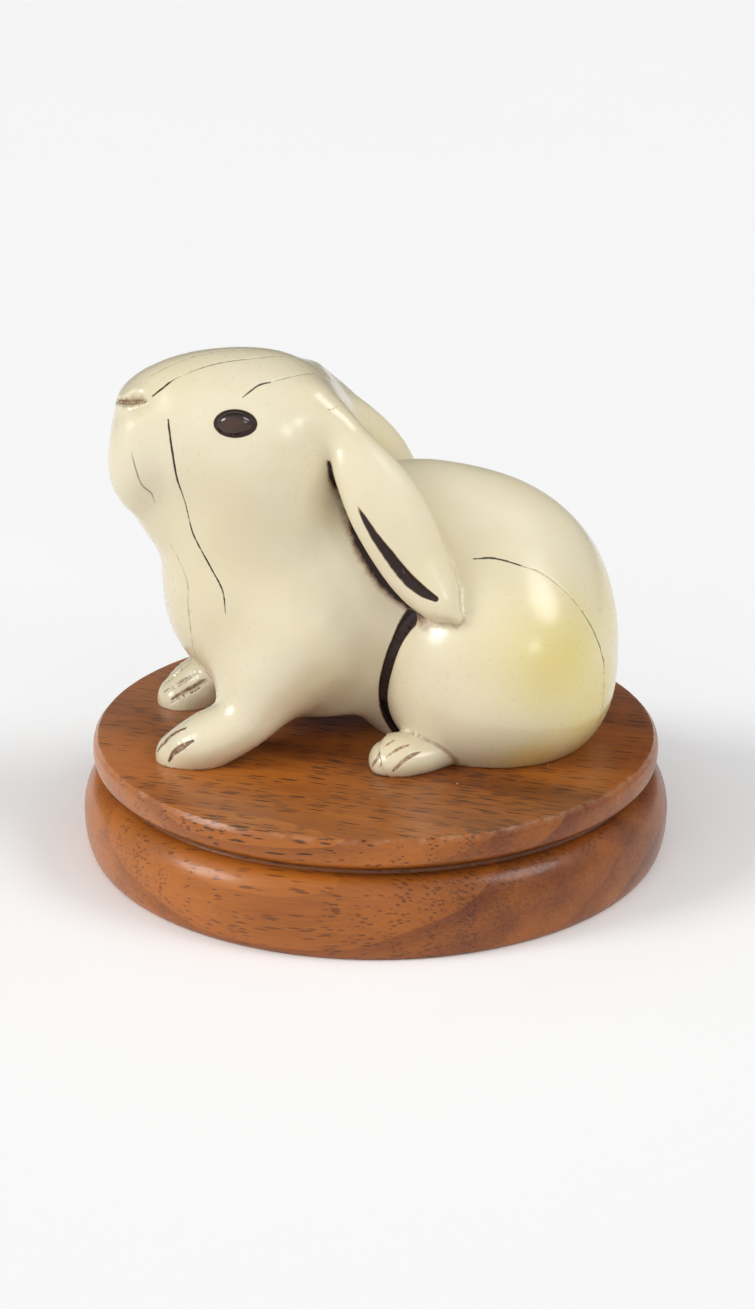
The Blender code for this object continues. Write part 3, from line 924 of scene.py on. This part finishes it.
    # Adds the painted reflection to the worn and painted-highlight colour.
    wear_and_sheen = add(tree, "Mix", {0: bloom, 6: wear_and_sheen, 7: (*look.bloom, 1)}, data_type="RGBA").outputs[2]
    # The groove is darkened towards the pore colour.
    groove_darkened = add(
        tree, "Mix", {0: groove, 6: wear_and_sheen, 7: (*look.pore, 1)}, data_type="RGBA",
    ).outputs[2]

    # A few pale dust specks a fifth of a millimetre wide.
    dust = add(tree, "TexVoronoi", {"Vector": spot, "Scale": 330})
    dust_luck = add(tree, "SeparateColor", {"Color": dust.outputs["Color"]}).outputs[1]
    dust_size = add(
        tree, "MapRange", {"Value": dust_luck, "From Min": 0.9, "From Max": 1.0, "To Max": 0.07},
    ).outputs[0]
    dust_in = add(
        tree, "Math", {0: dust_size, 1: dust.outputs["Distance"]}, operation="GREATER_THAN",
    ).outputs[0]
    dusty = add(
        tree, "Mix", {0: dust_in, 6: groove_darkened, 7: (*look.bare_and_highlight, 1)}, data_type="RGBA",
    ).outputs[2]
    tree.links.new(dusty, shader.inputs["Base Color"])

    rough = add(
        tree, "MapRange",
        {"Value": fibre, "From Min": 0.3, "From Max": 0.7, "To Min": 0.34, "To Max": 0.46},
    ).outputs[0]
    tree.links.new(rough, shader.inputs["Roughness"])
    pore_bump = add(
        tree, "Bump", {"Height": pore, "Strength": 1.0, "Distance": 0.00012}, invert=True,
    ).outputs[0]
    fibre_bump = add(
        tree, "Bump",
        {"Height": fibre, "Strength": 1.0, "Distance": 0.00006, "Normal": pore_bump},
    ).outputs[0]
    tree.links.new(fibre_bump, shader.inputs["Normal"])
    shader.inputs["IOR"].default_value = 1.5
    shader.inputs["Specular IOR Level"].default_value = 0.2
    shader.inputs["Coat Weight"].default_value = 0.42
    shader.inputs["Coat Roughness"].default_value = 0.2
    return made


def stand_section():
    """Half section in millimetres, from the table's middle out and down to the underside's middle."""
    def arc(centre, radii, start, end, count):
        angles = np.radians(np.linspace(start, end, count))
        return [(centre[0] + radii[0] * math.cos(a), centre[1] + radii[1] * math.sin(a)) for a in angles]

    top = STAND_HIGH[2] / MM
    outer = STAND_HIGH[0] / MM
    return [
        (0, top), (12, top), (24, top), (36, top), (44, top), (47.2, top), (47.75, top - 0.02),
        *arc((47.95, 19.72), (0.28, 0.26), 85, 10, 5),
        *arc((48.4, 17.6), (0.6, 2.0), 52, -70, 12),
        (47.6, 14.95), (46.75, 14.5), (46.3, 14.25), (46.25, 13.9), (46.3, 13.55),
        *arc((46.3, 6.3), (outer - 46.3, 7.1), 88, 0, 26),
        *arc((49.3, 6.3), (outer - 49.3, 6.3), -6, -90, 14),
        (47, 0), (30, 0), (12, 0), (0, 0),
    ]


def colour(name, description, hexcode):
    """Colour property with an sRGB default."""
    return FloatVectorProperty(name=name, description=description, default=linear(hexcode), subtype="COLOR")


def heading(azimuth, elevation):
    """Direction towards a lamp or the camera."""
    az, el = math.radians(azimuth), math.radians(elevation)
    return Vector((math.sin(az) * math.cos(el), -math.cos(az) * math.cos(el), math.sin(el)))


def place(data, where, towards):
    """Object for a lamp or camera that looks back along a direction."""
    made = bpy.data.objects.new(data.name, data)
    made.location = where
    made.rotation_euler = towards.to_track_quat("Z", "Y").to_euler()
    bpy.context.scene.collection.objects.link(made)
    return made


class NetsukeRabbit(bpy.types.PropertyGroup):
    skin: FloatProperty(
        name="Skin", description="Spacing of the skin's vertices away from its details", default=0.62 * MM,
        unit="LENGTH", precision=5,
    )
    rest: FloatProperty(
        name="Resting gap", description="Gap between the soles and the table", default=0.04 * MM,
        unit="LENGTH", precision=5,
    )
    score: FloatProperty(
        name="Hairline depth", description="Depth of the hairlines", default=0.1 * MM, unit="LENGTH",
        precision=5,
    )
    cream: colour("Cream", "Body colour of the resin", "DED4B8")
    shade: colour("Shade", "Darker clouds in the resin", "DACEAC")
    # Yellow of the aged resin, also used for the painted reflection of the wood.
    patina: colour("Patina", "Yellowed resin", "D8C67A")
    wash: colour("Thin stain", "Where the stain has been wiped thin", "8A5A30")
    # Also the colour of the painted shade under the ears' lower edges.
    stain: colour("Stain", "Stain left thick in the cuts", "26130A")
    hairline: colour("Hairline", "Colour in the hairlines", "2A180B")


class NetsukeEyes(bpy.types.PropertyGroup):
    brown: colour("Brown", "Body colour of the beads", "3E200A")
    deep: colour("Deep brown", "Darker depths of the beads", "2A1406")
    edge: colour("Edge", "Where a bead meets its socket", "140A05")


class NetsukeStand(bpy.types.PropertyGroup):
    steps: IntProperty(name="Steps", description="Faces round the stand", default=256, min=32)
    light: colour("Light wood", "Early growth", "AE6421")
    dark: colour("Dark wood", "Late growth", "6A330E")
    # Also the colour the groove is darkened towards.
    pore: colour("Pores", "Open pores and grime", "2A1207")
    # Pale colour of the worn edge and its painted highlight, and of the dust.
    bare_and_highlight: colour("Bare wood", "Worn edge and dust", "D2AE8C")
    # Colour of the painted reflection on the table's top.
    bloom: colour("Bloom", "Pale bloom in the lacquer", "C99A7E")


class NetsukeStage(bpy.types.PropertyGroup):
    floor: colour("Floor", "Colour of the floor", "FFFFFF")
    sky: FloatProperty(name="Surround", description="Strength of the white surround", default=0.65)
    right: FloatProperty(
        name="Right light", description="Strength of the light high on the right", default=0.8,
    )
    front: FloatProperty(
        name="Front light", description="Strength of the wide light in front", default=0.62,
    )
    head: FloatProperty(name="Head light", description="Watts of the small light on the head", default=1.1)
    left: FloatProperty(name="Left light", description="Strength of the light on the left", default=1.2)


class NETSUKE_OT_rabbit(bpy.types.Operator):
    """Cast rabbit with its carved details and hairlines"""

    bl_idname = "netsuke.rabbit"
    bl_label = "Rabbit"

    def execute(self, context):
        look = context.scene.netsuke_rabbit
        skin = rough_block()
        for voxel, rounds in ((1.5, 8), (look.skin / MM, 5)):
            skin = remeshed(skin, voxel)
            settle(skin, skin.verts[:], rabbit_masses, rounds, 0.8)
        bmesh.ops.triangulate(skin, faces=skin.faces)
        laid = hairline_paths()
        refine(skin, lambda p: edge_gap(p, laid), 0.6)
        refine(skin, lambda p: detail_gap(p, laid), 0.22)
        p = positions(skin.verts)
        near = edge_gap(p, laid) < 1.6
        near |= box_gap(p, np.array([(-42.0, -8.0, 76.0), (-34.0, 8.0, 83.0)]), 1.0) == 0
        local = [v for v, n in zip(skin.verts, near) if n]
        settle(skin, local, rabbit_carved, 3, 0.6)
        cut_flat(skin, STAND_HIGH[2] / MM + look.rest / MM)
        skin.normal_update()
        p = positions(skin.verts)
        gap, dark = hairline_gap(p, laid)
        sink = (look.score / MM) * (1 - ramp(gap, -0.08, 0.08)) * (dark > 0)
        for v, depth in zip(skin.verts, sink):
            if depth > 0.001:
                v.co -= v.normal * depth
        rabbit = new_piece("rabbit_cast", skin, ivory_resin(look))
        set_layer(rabbit.data, "hair_gap", gap)
        set_layer(rabbit.data, "hair_dark", dark)
        # Stain, with painted shade under the ears' lower edges.
        set_layer(rabbit.data, "stain", stain_and_shade_of(p))
        # Yellowing, with a painted warm reflection of the wood low on the haunches.
        set_layer(rabbit.data, "patina", patina_and_reflection_of(p))
        set_layer(rabbit.data, "matt", matt_of(p))
        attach(rabbit, "root")
        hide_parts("rabbit")
        return {"FINISHED"}


class NETSUKE_OT_eyes(bpy.types.Operator):
    """Two polished beads, each set in its socket"""

    bl_idname = "netsuke.eyes"
    bl_label = "Eyes"

    def execute(self, context):
        bead = amber_bead(context.scene.netsuke_eyes)
        for name, side in (("left", -1), ("right", 1)):
            ball = bmesh.new()
            bmesh.ops.create_uvsphere(ball, u_segments=64, v_segments=32, radius=1)
            for v in ball.verts:
                v.co.z *= 1 - 0.16 * v.co.x ** 2
            rim = [float(ramp(
                np.array(abs(v.co.x) ** 2 + abs(v.co.z) ** 2), 0.6, 0.95,
            )) for v in ball.verts]
            x, y, z = EYE_CENTRE
            tx, ty, tz = (math.radians(a) for a in EYE_TURN)
            seat = Matrix.LocRotScale((x, side * abs(y), z), Euler((-side * tx, ty, -side * tz)), EYE_RADII)
            bmesh.ops.transform(ball, matrix=seat, verts=ball.verts)
            eye = new_piece("eye_bead_" + name, ball, bead)
            set_layer(eye.data, "rim", rim)
            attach(eye, "root")
            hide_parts("eye_" + name)
        return {"FINISHED"}


class NETSUKE_OT_stand(bpy.types.Operator):
    """Turned stand: a round table over a bead"""

    bl_idname = "netsuke.stand"
    bl_label = "Stand"

    def execute(self, context):
        look = context.scene.netsuke_stand
        turning = bmesh.new()
        corners = [turning.verts.new((r, 0, z)) for r, z in stand_section()]
        for a, b in zip(corners, corners[1:]):
            turning.edges.new((a, b))
        bmesh.ops.spin(
            turning, geom=[*turning.verts, *turning.edges], cent=(0, 0, 0), axis=(0, 0, 1),
            angle=math.tau, steps=look.steps, use_merge=True,
        )
        bmesh.ops.remove_doubles(turning, verts=turning.verts, dist=1e-4)
        bmesh.ops.recalc_face_normals(turning, faces=turning.faces)
        p = positions(turning.verts)
        r = np.hypot(p[:, 0], p[:, 1])
        # The table's rounded edge, paler with wear and with a painted highlight.
        arris = ramp(r, 47.6, 47.95) * ramp(p[:, 2], 19.3, 19.75)
        # The groove under the table, which is darker.
        groove = (1 - ramp(np.hypot(r - 46.2, p[:, 2] - 14.0), 0.3, 1.1)) * 0.5
        stand = new_piece("stand_turned", turning, satin_walnut(look))
        set_layer(stand.data, "arris", arris)
        set_layer(stand.data, "groove", groove)
        normals = np.array([v.normal for v in stand.data.vertices])
        filled = np.maximum(np.abs(normals @ GRAIN_WAY), BEAD_FILLED * (p[:, 2] < GROOVE_HEIGHT))
        set_layer(stand.data, "end_grain", filled)
        # Painted sheen: the table's top is painted paler away from its front, as a reflection of the white
        # surround.
        away = np.linalg.norm(p - np.array(SHEEN_FROM), axis=1)
        set_layer(stand.data, "bloom", SHEEN_MOST * ramp(away, *SHEEN_REACH) * (p[:, 2] > GROOVE_HEIGHT))
        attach(stand, "root")
        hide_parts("stand")
        return {"FINISHED"}


class NETSUKE_OT_stage(bpy.types.Operator):
    """Pale floor, soft light and the camera"""

    bl_idname = "netsuke.stage"
    bl_label = "Stage"

    def execute(self, context):
        look = context.scene.netsuke_stage
        scene = context.scene
        sheet = bmesh.new()
        bmesh.ops.create_circle(sheet, cap_ends=True, segments=96, radius=FLOOR_RADIUS)
        paint, tree, shader = new_material("floor_paint")
        spot = add(tree, "TexCoord").outputs["Object"]
        mottle = add(tree, "TexNoise", {"Vector": spot, "Scale": 3, "Detail": 2}).outputs["Fac"]
        tint = add(
            tree, "Mix",
            {0: mottle, 6: (*look.floor, 1), 7: (*[0.985 * c for c in look.floor], 1)}, data_type="RGBA",
        ).outputs[2]
        tree.links.new(tint, shader.inputs["Base Color"])
        shader.inputs["Roughness"].default_value = 0.9
        shader.inputs["Specular IOR Level"].default_value = 0.1
        floor = new_piece("floor", sheet, paint)

        world = bpy.data.worlds.new("white_surround")
        world.use_nodes = True
        scene.world = world
        sky = world.node_tree.nodes["Background"]
        # White all round, but for a dark wall behind the object.
        around = add(world.node_tree, "TexCoord").outputs["Generated"]
        toward = add(
            world.node_tree, "VectorMath", {0: around, 1: DARK_WALL}, operation="DOT_PRODUCT",
        ).outputs["Value"]
        wall = add(
            world.node_tree, "MapRange", {"Value": toward, "From Min": 0.35, "From Max": 0.8},
            interpolation_type="SMOOTHSTEP",
        ).outputs[0]
        dome = add(
            world.node_tree, "Mix",
            {0: wall, 6: (*linear("FFFFFF"), 1), 7: (*linear("585C62"), 1)}, data_type="RGBA",
        ).outputs[2]
        world.node_tree.links.new(dome, sky.inputs["Color"])
        sky.inputs["Strength"].default_value = look.sky

        for name, azimuth, elevation, width in SOFTBOXES:
            lamp = bpy.data.lights.new("softbox_" + name, "SUN")
            lamp.energy = getattr(look, name)
            lamp.angle = math.radians(width)
            towards = heading(azimuth, elevation)
            place(lamp, towards, towards)

        # A small lamp that only reaches the head and the ears.
        lamp = bpy.data.lights.new("snoot_head", "SPOT")
        lamp.energy = look.head
        lamp.shadow_soft_size = SNOOT_RADIUS * MM
        lamp.spot_size = math.radians(SNOOT_CONE)
        lamp.spot_blend = 1.0
        towards = heading(*SNOOT_FROM)
        place(lamp, (Vector(SNOOT_AIM) + towards * SNOOT_AWAY) * MM, towards)

        lens = bpy.data.cameras.new("camera")
        lens.sensor_width = 36
        lens.lens = CAMERA_LENS
        lens.clip_start = 0.01
        camera = place(lens, Vector(CAMERA_AT) * MM, heading(*CAMERA_FROM))
        scene.camera = camera
        scene.view_settings.view_transform = "Standard"
        return {"FINISHED"}


class NETSUKE_PT_panel(bpy.types.Panel):
    """Steps that build the netsuke"""

    bl_idname = "NETSUKE_PT_panel"
    bl_label = "Rabbit netsuke"
    bl_space_type = "VIEW_3D"
    bl_region_type = "UI"
    bl_category = "Netsuke"

    def draw(self, context):
        for step in STEPS:
            self.layout.operator(step)


PROPERTIES = {
    "netsuke_rabbit": NetsukeRabbit,
    "netsuke_eyes": NetsukeEyes,
    "netsuke_stand": NetsukeStand,
    "netsuke_stage": NetsukeStage,
}
OPERATORS = (NETSUKE_OT_rabbit, NETSUKE_OT_eyes, NETSUKE_OT_stand, NETSUKE_OT_stage)
STEPS = tuple(operator.bl_idname for operator in OPERATORS)


def register():
    for group in (*PROPERTIES.values(), *OPERATORS, NETSUKE_PT_panel):
        bpy.utils.register_class(group)
    for name, group in PROPERTIES.items():
        setattr(bpy.types.Scene, name, PointerProperty(type=group))


def unregister():
    for name in PROPERTIES:
        delattr(bpy.types.Scene, name)
    for group in (NETSUKE_PT_panel, *OPERATORS, *PROPERTIES.values()):
        bpy.utils.unregister_class(group)


def main():
    register()
    bpy.ops.netsuke.rabbit()
    bpy.ops.netsuke.eyes()
    bpy.ops.netsuke.stand()
    bpy.ops.netsuke.stage()


if __name__ == "__main__":
    main()
